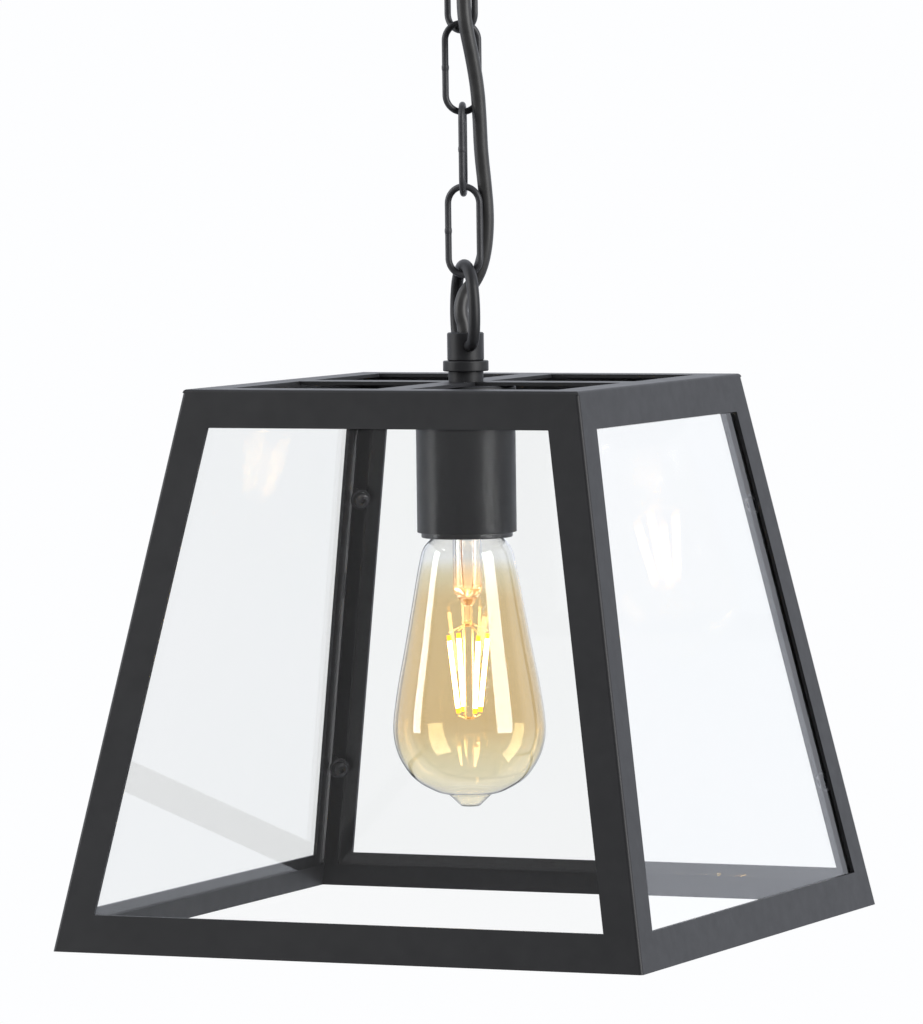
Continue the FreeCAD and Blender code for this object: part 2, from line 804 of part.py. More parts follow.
def make_lampholder():
    save("holder_cup", holder_cup())
    save("holder_dome", holder_dome())
    save("holder_skirt", holder_skirt())
    save("holder_insert", annulus(insert_radius, 0, below(insert_bottom), below(insert_top)))
    save("thread_shell", thread_shell())
    save("centre_contact", centre_contact())
    save("holder_terminals", terminals())
    terminal_top = below(insert_top - terminal_size)
    core_ends = [V(terminal_x, 0, terminal_top), V(-terminal_x, 0, terminal_top)]
    lead_in = V(0, 0, -4)
    tail = flex_tail(above(flex_points[-1][2]), above(lower_nipple[0]) - 0.5, core_ends, lead_in)
    save("flex_tail_bottom", tail)


# ---------------------------------------------------------------- bulb

def bulb_contact():
    """The domed contact button at the top of the cap."""
    profile = [(0, below(contact_top)), (2.2, below(contact_top)), (4.6, below(38.2)), (0, below(38.2))]
    return turned(profile)


def cap_insulator():
    """The black glass cone between the contact and the cap."""
    profile = [(0, below(38.2)), (5.2, below(38.2)), (9.4, below(40.4)), (9.4, below(41.0)), (0, below(41.0))]
    return turned(profile)


def bulb_cap():
    """The rolled screw cap: a thin shell with round thread rings."""
    outer = [V(9.4, 0, below(40.6)), V(cap_root_radius, 0, below(thread_top))]
    edges = [Part.LineSegment(outer[0], outer[1]).toShape()]
    z = below(thread_top)
    for _ in range(thread_rings):
        root = V(cap_root_radius, 0, z)
        crest = V(cap_radius, 0, z - thread_pitch / 2)
        next_root = V(cap_root_radius, 0, z - thread_pitch)
        edges.append(Part.Arc(root, crest, next_root).toShape())
        z -= thread_pitch
    lip = [
        V(cap_root_radius, 0, z), V(cap_radius, 0, z - 1.0), V(cap_radius, 0, below(cap_end)),
        V(cap_radius - cap_wall, 0, below(cap_end)), V(cap_radius - cap_wall, 0, z - 1.2),
        V(cap_root_radius - cap_wall, 0, z - 0.4), V(cap_root_radius - cap_wall, 0, below(thread_top) - 0.3),
        V(9.4, 0, below(41.0)), outer[0],
    ]
    for start, end in zip(lip, lip[1:]):
        edges.append(Part.LineSegment(start, end).toShape())
    face = Part.Face(Part.Wire(edges))
    return face.revolve(V(0, 0, 0), V(0, 0, 1), 360)


def inset(points, wall):
    """The outline moved inwards by the wall's thickness, square to itself."""
    moved = []
    for i, (radius, drop) in enumerate(points):
        before = points[max(i - 1, 0)]
        after = points[min(i + 1, len(points) - 1)]
        along = V(after[0] - before[0], 0, after[1] - before[1]).normalize()
        moved.append((radius - wall * along.z, drop + wall * along.x))
    return moved


def glass_solid(body, tip):
    """A solid of revolution inside a bulb outline made of a body curve and a tip curve."""
    edges = []
    for outline in (body, tip):
        curve = Part.BSplineCurve()
        curve.interpolate([V(radius, 0, below(drop)) for radius, drop in outline])
        edges.append(curve.toShape())
    top = V(0, 0, below(body[0][1]))
    bottom = V(0, 0, below(tip[-1][1]))
    edges.append(Part.LineSegment(bottom, top).toShape())
    edges.append(Part.LineSegment(top, V(body[0][0], 0, below(body[0][1]))).toShape())
    return Part.Face(Part.Wire(edges)).revolve(V(0, 0, 0), V(0, 0, 1), 360)


def bulb_glass():
    """The blown envelope, open at its neck."""
    outside = glass_solid(glass_outline, glass_tip)
    inner_body = inset(glass_outline, glass_wall)
    inner_body[0] = (glass_outline[0][0] - glass_wall, glass_outline[0][1])
    shoulder = inner_body[-1]
    inner_tip = [shoulder] + [(radius - 0.8, drop - 0.8) for radius, drop in glass_tip[1:-1]]
    inner_tip.append((0.0, glass_tip[-1][1] - 1.0))
    inner_body[0] = (inner_body[0][0], inner_body[0][1] - 1.0)
    return outside.cut(glass_solid(inner_body, inner_tip))


def bulb_stem():
    """The glass stem: a flared tube pressed shut round the leads, with a rod and button below."""
    neck_inside = glass_outline[0][0] - glass_wall - 0.1
    profile = [
        (neck_inside, below(54.6)), (stem_radius, below(61.0)), (stem_radius, below(stem_pinch)),
        (1.9, below(stem_end)), (1.3, below(97.0)), (1.3, below(100.5)), (1.9, below(101.5)), (1.3, below(103.0)),
        (0, below(103.0)), (0, below(90.0)), (stem_radius - 0.8, below(stem_pinch - 1.5)),
        (stem_radius - 0.8, below(60.6)), (neck_inside - 0.8, below(54.6)),
    ]
    return turned(profile, [0, 3.0, 2.5, 2.5, 0.8, 0.8, 0.4, 0.4, 0, 0, 2.0, 3.0, 0])


def around(radius, drop, index):
    """A point of one filament's ring of four."""
    angle = math.radians(filament_turn + 90 * index)
    return V(radius * math.cos(angle), radius * math.sin(angle), below(drop))


def filament_arms(ring_radius, drop, end):
    """Four wires from a small ring on the axis to the filaments' ends."""
    pieces = [annulus(ring_radius, ring_radius - 0.7, below(drop + 0.35), below(drop - 0.35))]
    for index in range(4):
        start = around(ring_radius - 0.3, drop, index)
        pieces.append(rod(start, around(end[0], end[1], index), lead_radius - 0.05))
    return joined(pieces)


def make_bulb():
    save("bulb_contact", bulb_contact())
    save("bulb_cap_insulator", cap_insulator())
    save("bulb_cap", bulb_cap())
    save("bulb_glass", bulb_glass())
    save("bulb_stem", bulb_stem())
    filaments = []
    for index in range(4):
        top = around(filament_top[0], filament_top[1], index)
        bottom = around(filament_bottom[0], filament_bottom[1], index)
        filaments.append(rod(top, bottom, filament_radius))
    save("bulb_filaments", Part.makeCompound(filaments))
    arm_gap = 0.3
    upper_arms = filament_arms(2.6, 102.2, (filament_top[0], filament_top[1] - filament_radius - arm_gap))
    lower_arms = filament_arms(2.3, 141.5, (filament_bottom[0], filament_bottom[1] + filament_radius + arm_gap))
    leads = [rod(V(x, 0, below(104.0)), V(x, 0, below(141.4)), lead_radius) for x in (-1.9, 1.9)]
    save("bulb_leads", Part.makeCompound([upper_arms, joined([lower_arms] + leads)]))


os.makedirs("parts", exist_ok=True)
make_canopy()
make_hangers()
make_chain()
make_flex()
make_cage()
make_lampholder()
make_bulb()
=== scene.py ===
import json
import math

import bmesh
import bpy
from mathutils import Matrix, Vector


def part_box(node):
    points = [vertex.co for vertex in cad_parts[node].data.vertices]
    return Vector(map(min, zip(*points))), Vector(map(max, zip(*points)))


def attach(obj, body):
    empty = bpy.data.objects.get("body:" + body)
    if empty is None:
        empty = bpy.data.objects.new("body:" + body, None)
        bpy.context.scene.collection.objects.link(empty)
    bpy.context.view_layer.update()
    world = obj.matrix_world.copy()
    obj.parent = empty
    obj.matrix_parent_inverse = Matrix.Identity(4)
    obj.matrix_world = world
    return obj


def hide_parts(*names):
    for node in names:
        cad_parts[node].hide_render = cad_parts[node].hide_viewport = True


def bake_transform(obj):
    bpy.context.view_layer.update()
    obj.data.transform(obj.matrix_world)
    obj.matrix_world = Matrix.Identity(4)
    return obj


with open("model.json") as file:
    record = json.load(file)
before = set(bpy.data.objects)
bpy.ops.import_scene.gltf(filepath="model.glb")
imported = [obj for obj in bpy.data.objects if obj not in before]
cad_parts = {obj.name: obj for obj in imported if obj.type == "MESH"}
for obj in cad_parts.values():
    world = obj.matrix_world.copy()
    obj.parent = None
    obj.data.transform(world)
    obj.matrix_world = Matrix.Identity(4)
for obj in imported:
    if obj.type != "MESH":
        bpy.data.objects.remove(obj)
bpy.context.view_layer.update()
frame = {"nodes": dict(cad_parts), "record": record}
nodes = frame["nodes"]

studio_white = (0.985, 0.99, 1.0, 1)
# The cage's top plane, the lowest point of its posts, and the point half way between them.
cage_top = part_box("top_rail_front")[1].z
cage_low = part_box("post_front_right")[0].z
cage_middle = Vector((0, 0, (cage_top + cage_low) / 2))


# ---------------------------------------------------------------- camera, light and floor

def make_camera():
    """A long lens a little above the cage's middle, turned to the lantern's right."""
    yaw = 0.4177
    pitch = 0.0583
    roll = -0.0132
    distance = 3.0378
    slide_right = -0.0034
    slide_up = 0.0599
    back = Vector((math.sin(yaw) * math.cos(pitch), -math.cos(yaw) * math.cos(pitch), math.sin(pitch)))
    level_right = Vector((math.cos(yaw), math.sin(yaw), 0))
    level_up = back.cross(level_right)
    right = level_right * math.cos(roll) + level_up * math.sin(roll)
    up = level_up * math.cos(roll) - level_right * math.sin(roll)
    place = cage_middle + back * distance + right * slide_right + up * slide_up
    turn = Matrix((right, up, back)).transposed().to_4x4()
    data = bpy.data.cameras.new("camera")
    data.lens = 254.7
    data.sensor_width = 36.0
    camera = bpy.data.objects.new("camera", data)
    camera.matrix_world = Matrix.Translation(place) @ turn
    bpy.context.scene.collection.objects.link(camera)
    bpy.context.scene.camera = camera
    return yaw


def softbox(name, yaw, azimuth, width, power):
    """A tall area light that faces the cage; azimuth is counted from the camera towards its right."""
    distance = 6.5
    elevation = 20
    height = 6.0
    around = yaw + math.radians(azimuth)
    rise = math.radians(elevation)
    away = Vector((math.sin(around) * math.cos(rise), -math.cos(around) * math.cos(rise), math.sin(rise)))
    data = bpy.data.lights.new(name, "AREA")
    data.shape = "RECTANGLE"
    data.size = width
    data.size_y = height
    data.energy = power
    # Mirrored in a flat pane the softbox is dimmed; the bulb behind the pane mirrors it in full.
    data.use_nodes = True
    tree = data.node_tree
    path = add(tree, "LightPath")
    depth = add(tree, "MapRange", inputs={1: 2.0, 2: 4.0, 3: 0.3, 4: 1.0})
    tree.links.new(path.outputs["Transmission Depth"], depth.inputs[0])
    strength = add(tree, "Mix", inputs={2: 1.0})
    tree.links.new(path.outputs["Glossy Depth"], strength.inputs[0])
    tree.links.new(depth.outputs[0], strength.inputs[3])
    tree.links.new(strength.outputs[0], tree.nodes["Emission"].inputs["Strength"])
    light = bpy.data.objects.new(name, data)
    light.location = cage_middle + away * distance
    light.rotation_mode = "QUATERNION"
    light.rotation_quaternion = away.to_track_quat("Z", "Y")
    bpy.context.scene.collection.objects.link(light)


def seen_straight(tree):
    """1 for a ray from the camera that has at most passed through glass, 0 for one that was reflected."""
    path = add(tree, "LightPath")
    bounced = add(tree, "Math", operation="ADD", use_clamp=True)
    tree.links.new(path.outputs["Glossy Depth"], bounced.inputs[0])
    tree.links.new(path.outputs["Diffuse Depth"], bounced.inputs[1])
    unbroken = add(tree, "Math", operation="SUBTRACT", inputs={0: 1.0})
    tree.links.new(bounced.outputs[0], unbroken.inputs[1])
    through = add(tree, "Math", operation="MULTIPLY")
    tree.links.new(path.outputs["Is Transmission Ray"], through.inputs[0])
    tree.links.new(unbroken.outputs[0], through.inputs[1])
    straight = add(tree, "Math", operation="ADD", use_clamp=True)
    tree.links.new(path.outputs["Is Camera Ray"], straight.inputs[0])
    tree.links.new(through.outputs[0], straight.inputs[1])
    return straight.outputs[0]


def make_world(yaw):
    """A white sweep behind the lantern and a darker room in front of it."""
    world = bpy.data.worlds.new("studio")
    bpy.context.scene.world = world
    world.use_nodes = True
    tree = world.node_tree
    background = tree.nodes["Background"]
    where = add(tree, "TexCoord")
    # 0 straight behind the lantern, 1 straight behind the camera.
    facing = add(tree, "VectorMath", operation="DOT_PRODUCT")
    facing.inputs[1].default_value = (math.sin(yaw), -math.cos(yaw), 0)
    tree.links.new(where.outputs["Generated"], facing.inputs[0])
    half = add(tree, "MapRange", inputs={1: -1.0, 2: 1.0})
    tree.links.new(facing.outputs["Value"], half.inputs[0])
    front_room = [
        (0.42, (0.95, 0.99, 1.1, 1)),
        (0.56, (0.27, 0.28, 0.31, 1)),
        (0.8, (0.31, 0.31, 0.32, 1)),
        (1.0, (0.2, 0.2, 0.21, 1)),
    ]
    upper = ramp(tree, half.outputs[0], [(0.0, (1.0, 1.04, 1.14, 1))] + front_room)
    lower = ramp(tree, half.outputs[0], [
        (0.0, (0.56, 0.58, 0.64, 1)),
        (0.2, (0.7, 0.73, 0.8, 1)),
        (0.32, (0.95, 0.99, 1.1, 1)),
    ] + front_room)
    # The sweep is darker where it curves down below the lantern.
    direction = add(tree, "SeparateXYZ")
    tree.links.new(where.outputs["Generated"], direction.inputs[0])
    rise = add(tree, "MapRange", inputs={1: -0.18, 2: 0.0})
    tree.links.new(direction.outputs["Z"], rise.inputs[0])
    room = add(tree, "Mix", data_type="RGBA")
    tree.links.new(rise.outputs[0], room.inputs[0])
    tree.links.new(lower, room.inputs[6])
    tree.links.new(upper, room.inputs[7])
    # Seen directly, or only through glass, the surroundings are white; reflected light sees the room.
    mix = add(tree, "Mix", data_type="RGBA")
    mix.inputs[7].default_value = studio_white
    tree.links.new(seen_straight(tree), mix.inputs[0])
    tree.links.new(room.outputs[2], mix.inputs[6])
    tree.links.new(mix.outputs[2], background.inputs["Color"])
    background.inputs["Strength"].default_value = 1.0


def make_light(yaw):
    """The room, and two tall softboxes at the lantern's sides."""
    make_world(yaw)
    softbox("left_softbox", yaw, azimuth=-84.5, width=2.5, power=500)
    softbox("right_softbox", yaw, azimuth=55, width=3.2, power=760)
    scene = bpy.context.scene
    scene.view_settings.view_transform = "Standard"
    # The many walls of glass in line need long light paths.
    scene.cycles.max_bounces = 32
    scene.cycles.transmission_bounces = 32
    scene.cycles.transparent_max_bounces = 16


def make_floor():
    """A pale round floor well below the lantern, which fades into the bright surroundings."""
    drop = 0.8
    radius = 12.0
    fade_start = 1.5
    fade_end = 5.0
    bm = bmesh.new()
    bmesh.ops.create_circle(bm, cap_ends=True, cap_tris=False, segments=96, radius=radius)
    mesh = bpy.data.meshes.new("floor")
    bm.to_mesh(mesh)
    bm.free()
    floor = bpy.data.objects.new("floor", mesh)
    floor.location = (0, 0, cage_low - drop)
    bpy.context.scene.collection.objects.link(floor)
    material, tree, shader = new_material("floor_paint")
    shader.inputs["Base Color"].default_value = (0.86, 0.865, 0.87, 1)
    shader.inputs["Roughness"].default_value = 0.8
    where = add(tree, "TexCoord")
    length = add(tree, "VectorMath", operation="LENGTH")
    tree.links.new(where.outputs["Object"], length.inputs[0])
    fade = add(tree, "MapRange", inputs={1: fade_start, 2: fade_end})
    tree.links.new(length.outputs["Value"], fade.inputs[0])
    glow = add(tree, "Emission", inputs={"Color": studio_white})
    mix = add(tree, "MixShader")
    tree.links.new(fade.outputs[0], mix.inputs[0])
    tree.links.new(shader.outputs[0], mix.inputs[1])
    tree.links.new(glow.outputs[0], mix.inputs[2])
    # Reflections look past the floor, into the room.
    clear = add(tree, "BsdfTransparent")
    shown = add(tree, "MixShader")
    tree.links.new(seen_straight(tree), shown.inputs[0])
    tree.links.new(clear.outputs[0], shown.inputs[1])
    tree.links.new(mix.outputs[0], shown.inputs[2])
    tree.links.new(shown.outputs[0], tree.nodes["Material Output"].inputs["Surface"])
    mesh.materials.append(material)


# ---------------------------------------------------------------- node helpers

def new_material(name):
    material = bpy.data.materials.new(name)
    material.use_nodes = True
    tree = material.node_tree
    return material, tree, tree.nodes["Principled BSDF"]


def add(tree, kind, inputs=None, **settings):
    """A new shader node with its settings and constant inputs."""
    node = tree.nodes.new("ShaderNode" + kind)
    for key, value in settings.items():
        setattr(node, key, value)
    for key, value in (inputs or {}).items():
        node.inputs[key].default_value = value
    return node


def noise(tree, scale, detail=3.0, roughness=0.55):
    """Noise in the row frame; scale is in features per metre."""
    where = add(tree, "TexCoord")
    texture = add(tree, "TexNoise", inputs={"Scale": scale, "Detail": detail, "Roughness": roughness})
    tree.links.new(where.outputs["Object"], texture.inputs["Vector"])
    return texture.outputs["Fac"]


def ramp(tree, factor, stops):
    """A colour ramp of (position, colour) stops."""
    node = add(tree, "ValToRGB")
    elements = node.color_ramp.elements
    while len(elements) < len(stops):
        elements.new(0.5)
    for element, (position, colour) in zip(elements, stops):
        element.position = position
        element.color = colour
    tree.links.new(factor, node.inputs[0])
    return node.outputs[0]


def grey(value):
    return (value, value, value, 1)


def shade(colour, factor):
    return tuple(channel * factor for channel in colour[:3]) + (1,)


def bump(tree, shader, factor, height, strength=1.0):
    """Relief of a given height in metres."""
    node = add(tree, "Bump", inputs={"Strength": strength, "Distance": height})
    tree.links.new(factor, node.inputs["Height"])
    tree.links.new(node.outputs[0], shader.inputs["Normal"])


def row_height(tree):
    """The row frame's Z, in metres, as a node output."""
    where = add(tree, "TexCoord")
    split = add(tree, "SeparateXYZ")
    tree.links.new(where.outputs["Object"], split.inputs[0])
    return split.outputs["Z"]


# ---------------------------------------------------------------- materials

def coated_steel(name, colour, roughness, grain=1400.0, relief=0.00004, specular=0.3):
    """Paint on steel: uneven sheen, slight mottling and the fine orange peel of powder coat."""
    material, tree, shader = new_material(name)
    shader.inputs["Specular IOR Level"].default_value = specular
    mottle = noise(tree, 45.0, 5.0)
    tint = ramp(tree, mottle, [(0.3, shade(colour, 0.92)), (0.7, shade(colour, 1.1))])
    tree.links.new(tint, shader.inputs["Base Color"])
    sheen = ramp(tree, noise(tree, 160.0, 5.0), [
        (0.3, grey(roughness - 0.03)),
        (0.75, grey(roughness + 0.04)),
    ])
    tree.links.new(sheen, shader.inputs["Roughness"])
    bump(tree, shader, noise(tree, grain, 2.0), relief, 0.5)
    return material


def sheath(name):
    """Extruded black PVC, with faint streaks across its shine."""
    material, tree, shader = new_material(name)
    shader.inputs["Specular IOR Level"].default_value = 0.4
    colour = ramp(tree, noise(tree, 120.0, 3.0), [(0.3, grey(0.018)), (0.7, grey(0.026))])
    tree.links.new(colour, shader.inputs["Base Color"])
    sheen = ramp(tree, noise(tree, 400.0, 4.0), [(0.3, grey(0.34)), (0.7, grey(0.46))])
    tree.links.new(sheen, shader.inputs["Roughness"])
    bump(tree, shader, noise(tree, 900.0, 3.0), 0.00004, 0.4)
    return material


def moulded(name, colour, roughness):
    """Moulded plastic with a fine spark-eroded texture."""
    material, tree, shader = new_material(name)
    tint = ramp(tree, noise(tree, 90.0, 3.0), [(0.3, shade(colour, 0.9)), (0.7, shade(colour, 1.1))])
    tree.links.new(tint, shader.inputs["Base Color"])
    sheen = ramp(tree, noise(tree, 500.0, 3.0), [
        (0.3, grey(roughness - 0.05)),
        (0.7, grey(roughness + 0.05)),
    ])
    tree.links.new(sheen, shader.inputs["Roughness"])
    bump(tree, shader, noise(tree, 4000.0, 2.0), 0.00003, 0.4)
    return material


def bare_metal(name, colour, roughness, grain=600.0):
    """Plated or drawn metal with fine streaks and dull patches."""
    material, tree, shader = new_material(name)
    shader.inputs["Metallic"].default_value = 1.0
    tint = ramp(tree, noise(tree, 150.0, 4.0), [(0.3, shade(colour, 0.85)), (0.7, shade(colour, 1.0))])
    tree.links.new(tint, shader.inputs["Base Color"])
    sheen = ramp(tree, noise(tree, grain, 4.0), [
        (0.3, grey(roughness - 0.07)),
        (0.7, grey(roughness + 0.1)),
    ])
    tree.links.new(sheen, shader.inputs["Roughness"])
    bump(tree, shader, noise(tree, grain * 3, 2.0), 0.00002, 0.3)
    return material


def glaze(name, colour):
    """Glazed ceramic with a soft pooled surface."""
    material, tree, shader = new_material(name)
    shader.inputs["Roughness"].default_value = 0.18
    shader.inputs["Coat Weight"].default_value = 0.4
    tint = ramp(tree, noise(tree, 200.0, 3.0), [(0.3, shade(colour, 0.94)), (0.7, shade(colour, 1.0))])
    tree.links.new(tint, shader.inputs["Base Color"])
    bump(tree, shader, noise(tree, 300.0, 2.0), 0.00006, 0.4)
    return material


def float_glass(name):
    """Clear window glass with a faint green body and a trace of wiping marks."""
    material, tree, shader = new_material(name)
    shader.inputs["Transmission Weight"].default_value = 1.0
    shader.inputs["IOR"].default_value = 1.43
    tint = ramp(tree, noise(tree, 9.0, 3.0), [
        (0.3, (0.988, 0.996, 0.992, 1)),
        (0.7, (0.996, 0.999, 0.997, 1)),
    ])
    tree.links.new(tint, shader.inputs["Base Color"])
    marks = ramp(tree, noise(tree, 25.0, 6.0, 0.7), [(0.55, grey(0.0)), (0.8, grey(0.035))])
    tree.links.new(marks, shader.inputs["Roughness"])
    bump(tree, shader, noise(tree, 6.0, 1.0), 0.0002, 0.05)
    return material


def bulb_amber(name):
    """Clear at the collar, amber down the body, paler towards the tip."""
    tint_top = cage_top - 0.064
    tint_low = cage_top - 0.1785
    uneven = 0.0012
    material, tree, shader = new_material(name)
    shader.inputs["Transmission Weight"].default_value = 1.0
    shader.inputs["IOR"].default_value = 1.46
    shader.inputs["Roughness"].default_value = 0.0
    along = add(tree, "MapRange", inputs={1: tint_top, 2: tint_low})
    wander = add(tree, "MapRange", inputs={3: -uneven, 4: uneven})
    tree.links.new(noise(tree, 60.0, 2.0), wander.inputs[0])
    height = add(tree, "Math", operation="ADD")
    tree.links.new(row_height(tree), height.inputs[0])
    tree.links.new(wander.outputs[0], height.inputs[1])
    tree.links.new(height.outputs[0], along.inputs[0])
    tint = ramp(tree, along.outputs[0], [
        (0.0, (0.97, 0.97, 0.965, 1)),
        (0.095, (0.965, 0.965, 0.95, 1)),
        (0.14, (0.905, 0.855, 0.715, 1)),
        (0.24, (0.885, 0.765, 0.55, 1)),
        (0.7, (0.88, 0.75, 0.525, 1)),
        (0.84, (0.925, 0.87, 0.7, 1)),
        (1.0, (0.95, 0.92, 0.82, 1)),
    ])
    tree.links.new(tint, shader.inputs["Base Color"])
    return material


def clear_glass(name):
    """Drawn glass of the stem, slightly streaky; towards its pinch it has a painted glow in place of the
    filaments' light it would catch.
    """
    painted_glow_start = cage_top - 0.074
    painted_glow_full = cage_top - 0.104
    material, tree, shader = new_material(name)
    # Painted glow: emission that rises towards the pinch stands in for the filaments' light caught by the
    # glass.
    along = add(tree, "MapRange", inputs={1: painted_glow_start, 2: painted_glow_full})
    tree.links.new(row_height(tree), along.inputs[0])
    glow = ramp(tree, along.outputs[0], [
        (0.0, (0.0, 0.0, 0.0, 1)),
        (0.4, (0.35, 0.17, 0.06, 1)),
        (1.0, (0.8, 0.38, 0.12, 1)),
    ])
    tree.links.new(glow, shader.inputs["Emission Color"])
    shader.inputs["Emission Strength"].default_value = 0.5
    shader.inputs["Roughness"].default_value = 0.0
    shader.inputs["Transmission Weight"].default_value = 1.0
    shader.inputs["IOR"].default_value = 1.5
    tint = ramp(tree, noise(tree, 200.0, 2.0), [
        (0.3, (0.97, 0.965, 0.95, 1)),
        (0.7, (0.998, 0.995, 0.99, 1)),
    ])
    tree.links.new(tint, shader.inputs["Base Color"])
    bump(tree, shader, noise(tree, 260.0, 2.0), 0.00006, 0.3)
    return material


def phosphor(name, colour, strength):
    """Glowing silicone and phosphor, a little uneven along its length."""
    material, tree, shader = new_material(name)
    shader.inputs["Roughness"].default_value = 0.5
    tint = ramp(tree, noise(tree, 500.0, 2.0), [(0.3, shade(colour, 0.9)), (0.7, shade(colour, 1.0))])
    tree.links.new(tint, shader.inputs["Base Color"])
    tree.links.new(tint, shader.inputs["Emission Color"])
    shader.inputs["Emission Strength"].default_value = strength
    return material


def wire_with_painted_glow(name):
    """Bright wire with a painted glow along its middle, in place of the filaments' light that it throws
    back.
    """
    painted_glow_top = cage_top - 0.102
    painted_glow_low = cage_top - 0.142
    material = bare_metal(name, (0.8, 0.7, 0.54), 0.25, 1500.0)
    tree = material.node_tree
    shader = tree.nodes["Principled BSDF"]
    # Painted glow: warm emission along the wire's middle stands in for the reflected light of the
    # filaments beside it.
    along = add(tree, "MapRange", inputs={1: painted_glow_top, 2: painted_glow_low})
    tree.links.new(row_height(tree), along.inputs[0])
    glow = ramp(tree, along.outputs[0], [
        (0.02, (0.2, 0.08, 0.02, 1)),
        (0.14, (1.0, 0.66, 0.3, 1)),
        (0.86, (1.0, 0.72, 0.36, 1)),
        (0.96, (0.3, 0.14, 0.04, 1)),
    ])
    tree.links.new(glow, shader.inputs["Emission Color"])
    shader.inputs["Emission Strength"].default_value = 2.4
    return material


def make_materials():
    """One material for each slot of the record."""
    return {
        "cage_black": coated_steel("cage_black", (0.0135, 0.0138, 0.015), 0.42, specular=0.26),
        "chain_black": coated_steel("chain_black", (0.029, 0.0295, 0.032), 0.36, 2500.0, 0.00003, 0.32),
        "flex_black": sheath("flex_black"),
        "holder_black": moulded("holder_black", (0.02, 0.02, 0.021), 0.4),
        "porcelain": glaze("porcelain", (0.86, 0.84, 0.79)),
        "brass": bare_metal("brass", (0.8, 0.62, 0.3), 0.28),
        "zinc_steel": bare_metal("zinc_steel", (0.66, 0.68, 0.7), 0.34),
        "clamp_steel": coated_steel("clamp_steel", (0.02, 0.02, 0.022), 0.3, 3000.0),
        "pane_glass": float_glass("pane_glass"),
        "cream_plastic": moulded("cream_plastic", (0.8, 0.77, 0.68), 0.4),
        "nickel_cap": bare_metal("nickel_cap", (0.78, 0.76, 0.72), 0.18, 900.0),
        "black_glass": glaze("black_glass", (0.015, 0.015, 0.018)),
        "amber_glass": bulb_amber("amber_glass"),
        "stem_glass": clear_glass("stem_glass"),
        "filament": phosphor("filament", (1.0, 0.76, 0.4), 34.0),
        "lead_wire": wire_with_painted_glow("lead_wire"),
        "copper_wire": bare_metal("copper_wire", (0.86, 0.52, 0.34), 0.45, 1500.0),
    }


def dress(materials):
    """Gives every CAD node the material of its slot."""
    for part in frame["record"]["subparts"]:
        data = nodes[part["node"]].data
        data.materials.clear()
        data.materials.append(materials[part["material_slot"]])


# ---------------------------------------------------------------- mesh helpers

def finish_piece(name, bm, material, body):
    """Turns a bmesh into a piece that rides on a body."""
    bmesh.ops.recalc_face_normals(bm, faces=bm.faces)
    mesh = bpy.data.meshes.new(name)
    bm.to_mesh(mesh)
    bm.free()
    mesh.materials.append(material)
    for polygon in mesh.polygons:
        polygon.use_smooth = True
    piece = bpy.data.objects.new(name, mesh)
    bpy.context.scene.collection.objects.link(piece)
    if body:
        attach(piece, body)
    return piece


def spline_points(points):
    """Points along the smooth NURBS line of a route."""
    order = 3
    resolution = 24
    curve = bpy.data.curves.new("route", "CURVE")
    curve.dimensions = "3D"
    curve.resolution_u = resolution
    spline = curve.splines.new("NURBS")
    spline.points.add(len(points) - 1)
    for target, point in zip(spline.points, points):
        target.co = (*point, 1)
    spline.order_u = order
    spline.use_endpoint_u = True
    holder = bpy.data.objects.new("route", curve)
    bpy.context.scene.collection.objects.link(holder)
    bpy.context.view_layer.update()
    mesh = bpy.data.meshes.new_from_object(holder)
    line = [vertex.co.copy() for vertex in mesh.vertices]
    bpy.data.objects.remove(holder)
    bpy.data.meshes.remove(mesh)
    bpy.data.curves.remove(curve)
    return line


def sweep(bm, line, radius, sides=20, cap=True):
    """A round tube along a line; radius is a number or a function of the distance along it."""
    rings = []
    heading = (line[1] - line[0]).normalized()
    across = heading.orthogonal().normalized()
    travelled = 0.0
    for index, point in enumerate(line):
        ahead = line[min(index + 1, len(line) - 1)]
        behind = line[max(index - 1, 0)]
        heading = (ahead - behind).normalized()
        across = (across - heading * across.dot(heading)).normalized()
        side = heading.cross(across)
        if index:
            travelled += (point - line[index - 1]).length
        size = radius(travelled) if callable(radius) else radius
        ring = []
        for step in range(sides):
            angle = 2 * math.pi * step / sides
            ring.append(bm.verts.new(point + (across * math.cos(angle) + side * math.sin(angle)) * size))
        rings.append(ring)
    for first, second in zip(rings, rings[1:]):
        for step in range(sides):
            following = (step + 1) % sides
            bm.faces.new((first[step], first[following], second[following], second[step]))
    if cap:
        for ring in (rings[0][::-1], rings[-1]):
            bm.faces.new([bm.verts.new(vertex.co) for vertex in ring])


def revolve(bm, profile):
    """A surface of revolution about the lantern's axis, from (radius, z) points."""
    segments = 128
    rings = []
    for radius, height in profile:
        if radius < 1e-7:
            rings.append([bm.verts.new((0, 0, height))])
            continue
        ring = []
        for step in range(segments):
            angle = 2 * math.pi * step / segments
            ring.append(bm.verts.new((radius * math.cos(angle), radius * math.sin(angle), height)))
        rings.append(ring)
    for first, second in zip(rings, rings[1:]):
        for step in range(segments):
            following = (step + 1) % segments
            corners = []
            for ring, index in ((first, step), (first, following), (second, following), (second, step)):
                vertex = ring[index % len(ring)]
                if vertex not in corners:
                    corners.append(vertex)
            bm.faces.new(corners)


# ---------------------------------------------------------------- flex

